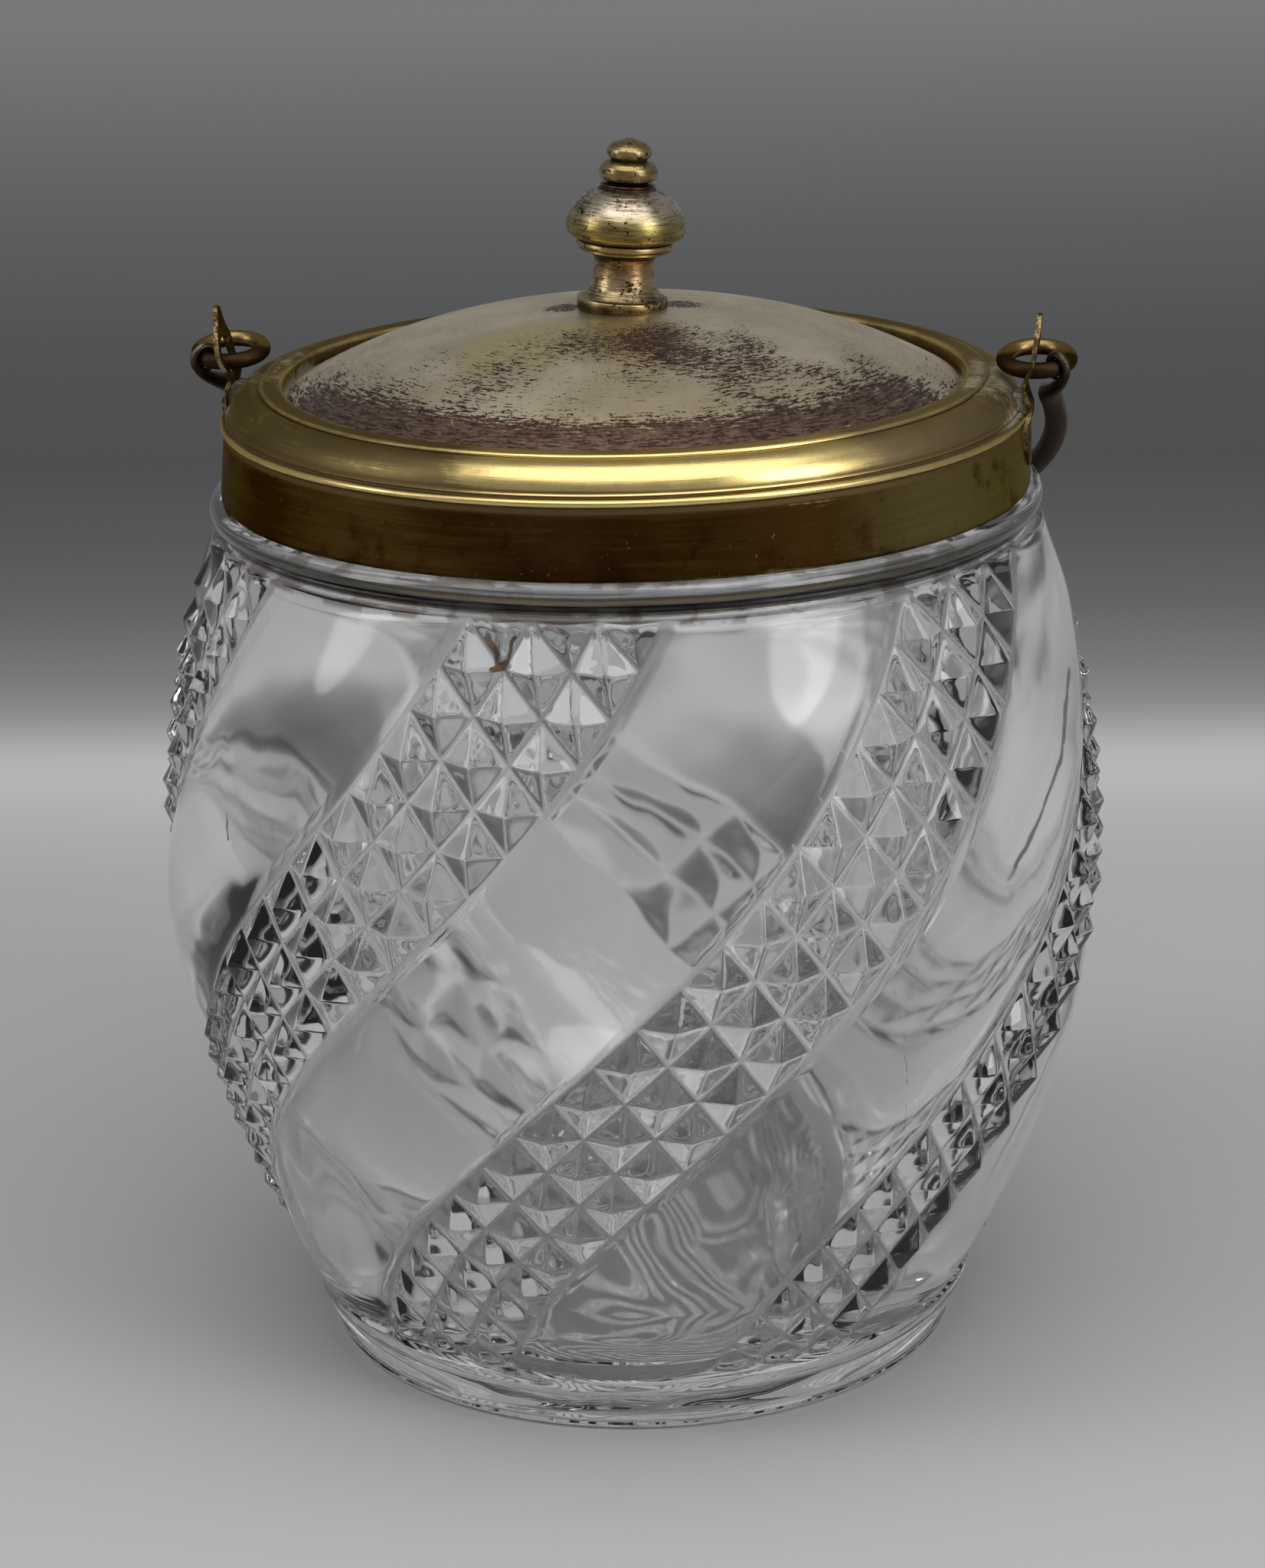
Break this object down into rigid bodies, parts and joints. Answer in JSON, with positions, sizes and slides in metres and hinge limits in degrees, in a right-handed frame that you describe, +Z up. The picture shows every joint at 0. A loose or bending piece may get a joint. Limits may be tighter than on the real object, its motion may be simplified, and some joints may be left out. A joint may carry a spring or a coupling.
{
  "type": "biscuit jar",
  "caption": "Swirl-pressed clear glass biscuit barrel with a spun brass collar, a swing bail linked to two ears, and a lift-out silver-plated dome lid with a turned finial.",
  "frame": {"origin": "centre of the foot's underside, on the surface that the jar stands on", "axes": "+Z up through the finial, +X along the bail's hinge line to the right-hand ear, +Y towards the back, where the bail hangs"},
  "size_m": [0.141, 0.142, 0.1804],
  "materials": {
    "clear_glass": "clear, slightly grey old glass with softened moulded edges",
    "plaster": "matte old plaster, stained at its edges",
    "collar_brass": "spun, polished long ago, olive tarnish with bright edges",
    "ear_brass": "thin sheet, tarnished faces and bright edges",
    "solder": "dull grey solder with green verdigris",
    "link_brass": "rubbed bright on top, brown underneath",
    "bar_bronze": "dark brown patina, satin",
    "worn_silver": "worn silver plate over brass, spun streaks and purple-brown tarnish",
    "finial_silver": "worn silver plate, dark in the grooves",
    "inside_brass": "dull unpolished brass"
  },
  "bodies": {
    "jar": {"glass_jar": "clear_glass", "plaster_bed": "plaster", "collar": "collar_brass", "left_ear": "ear_brass", "right_ear": "ear_brass", "left_solder": "solder", "right_solder": "solder"},
    "bail": {"bail_bar": "bar_bronze", "left_link": "link_brass", "right_link": "link_brass"},
    "lid": {"lid_dome": "worn_silver", "lid_skirt": "inside_brass", "finial_pedestal": "finial_silver", "finial_bulb": "finial_silver", "finial_bead": "finial_silver", "finial_cap": "finial_silver", "finial_stud": "inside_brass", "finial_washer": "inside_brass", "finial_nut": "inside_brass"}
  },
  "joints": [
    {"name": "bail_swing", "type": "hinge", "parent": "jar", "child": "bail", "pos_m": [0, 0, 0.1484], "axis": [1, 0, 0], "range_deg": [0, 170]},
    {"name": "lid_lift", "type": "slide", "parent": "jar", "child": "lid", "axis": [0, 0, 1], "range_m": [0, 0.04]}
  ]
}
